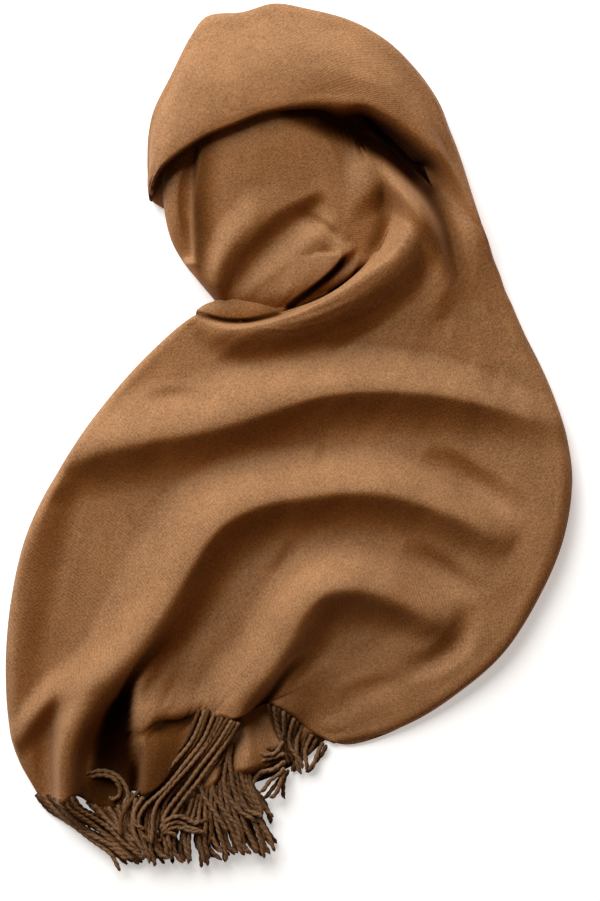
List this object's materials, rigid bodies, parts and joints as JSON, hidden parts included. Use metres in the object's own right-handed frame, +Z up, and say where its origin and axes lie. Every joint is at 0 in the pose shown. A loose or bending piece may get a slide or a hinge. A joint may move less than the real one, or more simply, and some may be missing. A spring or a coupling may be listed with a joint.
{
  "type": "faux cashmere scarf",
  "caption": "Long fringed scarf of brushed twill cloth, doubled and dropped in a swirl of soft folds, lying flat on a surface.",
  "frame": {"origin": "below the middle of the scarf's box, on the surface it lies on", "axes": "+Z up out of the surface, +Y along the swirl from the fringed hem to the crown, +X across it"},
  "size_m": [0.4668, 0.7196, 0.0601],
  "materials": {
    "brushed_cloth": "matt, brushed nap over a fine twill, soft sheen at grazing angles",
    "yarn_fringe": "matt twisted yarn"
  },
  "bodies": {
    "root": {"front_fall": "brushed_cloth", "crown_turn": "brushed_cloth", "inner_loop": "brushed_cloth", "tuck_ply": "brushed_cloth", "under_layers": "brushed_cloth", "fringe_left": "yarn_fringe", "fringe_hollow": "yarn_fringe", "fringe_middle": "yarn_fringe", "fringe_right": "yarn_fringe", "fringe_lower": "yarn_fringe"}
  },
  "joints": []
}
